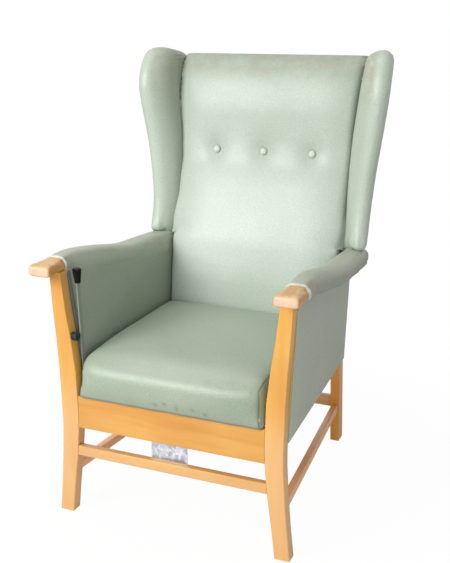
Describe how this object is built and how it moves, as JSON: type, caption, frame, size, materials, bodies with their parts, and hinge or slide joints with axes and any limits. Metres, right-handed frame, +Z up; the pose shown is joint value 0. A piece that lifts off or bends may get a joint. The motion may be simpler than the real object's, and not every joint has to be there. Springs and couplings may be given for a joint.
{
  "type": "fireside chair",
  "caption": "High-backed fireside chair with wings, padded arms on curved wooden side frames, a buttoned back, a cross shaft with a side lever and a strut-assisted lift seat.",
  "frame": {"origin": "on the floor under the middle of the chair's bounding box", "axes": "+Z up, the sitter faces -Y, +X is to the right of someone who stands in front and looks at the chair"},
  "size_m": [0.7384, 0.8172, 1.165],
  "materials": {
    "beech": "satin varnish",
    "inner_wood": "bare",
    "plywood": "bare",
    "padding": "sage green coated fabric over foam",
    "vinyl": "sage green, fine grain",
    "black_plastic": "gloss",
    "rubber": "matt",
    "zinc": "zinc plated, spangled",
    "black_paint": "gloss",
    "grey_paint": "satin",
    "steel": "bright"
  },
  "bodies": {
    "frame": {"front_leg_left": "beech", "front_leg_right": "beech", "rear_leg_left": "beech", "rear_leg_right": "beech", "front_rail": "beech", "front_stretcher": "beech", "side_stretcher_left": "beech", "side_stretcher_right": "beech", "rear_stretcher": "beech", "rear_rail": "beech", "side_rail_left": "beech", "side_rail_right": "beech", "corner_block_left": "inner_wood", "corner_block_right": "inner_wood", "arm_rail_left": "beech", "arm_rail_right": "beech", "arm_pad_left": "padding", "arm_pad_right": "padding", "side_cover_left": "vinyl", "side_cover_right": "vinyl", "side_board_left": "plywood", "side_board_right": "plywood", "inner_pad_left": "padding", "inner_pad_right": "padding", "back_upright_left": "inner_wood", "back_upright_right": "inner_wood", "back_top_rail": "inner_wood", "back_middle_rail": "inner_wood", "back_lower_rail": "inner_wood", "back_board": "plywood", "outer_back": "vinyl", "inside_back": "padding", "back_button_left": "vinyl", "back_button_middle": "vinyl", "back_button_right": "vinyl", "wing_left": "padding", "wing_right": "padding", "wing_board_left": "plywood", "wing_board_right": "plywood", "wing_pegs_left": "inner_wood", "wing_pegs_right": "inner_wood", "seat_rest_rail": "inner_wood", "rest_pads": "rubber", "hinge_fixed": "steel", "hinge_pin": "steel", "strut_plate": "zinc", "strut_lower_pin": "steel", "lever_buffer": "rubber", "bearing_left": "zinc", "bearing_right": "zinc"},
    "seat": {"seat_board": "plywood", "seat_cushion": "padding", "hinge_moving": "steel", "strut_bracket": "zinc", "strut_upper_pin": "steel"},
    "lever": {"lever_bar": "grey_paint", "lever_shaft": "grey_paint", "lever_knob": "black_plastic"},
    "strut_tube_body": {"strut_tube": "black_paint"},
    "strut_rod_body": {"strut_rod": "steel"}
  },
  "joints": [
    {"name": "seat_lift", "type": "hinge", "parent": "frame", "child": "seat", "pos_m": [0, -0.35258, 0.338], "axis": [1, 0, 0], "range_deg": [0, 30]},
    {"name": "lever_swing", "type": "hinge", "parent": "frame", "child": "lever", "pos_m": [-0.2473, -0.32059, 0.3], "axis": [-1, 0, 0], "range_deg": [0, 12], "stiffness_Nm_per_rad": 0.6},
    {"name": "strut_tilt", "type": "hinge", "parent": "frame", "child": "strut_tube_body", "pos_m": [0, -0.31859, 0.215], "axis": [1, 0, 0], "range_deg": [0, 19.45]},
    {"name": "strut_extend", "type": "slide", "parent": "strut_tube_body", "child": "strut_rod_body", "axis": [0, 0.7582, 0.652], "range_m": [0, 0.0557]}
  ],
  "couplings": [
    {"joint": "strut_tilt", "follows": "seat_lift", "ratio": 0.6469},
    {"joint": "strut_extend", "follows": "seat_lift", "m_per_rad": 0.10612}
  ]
}
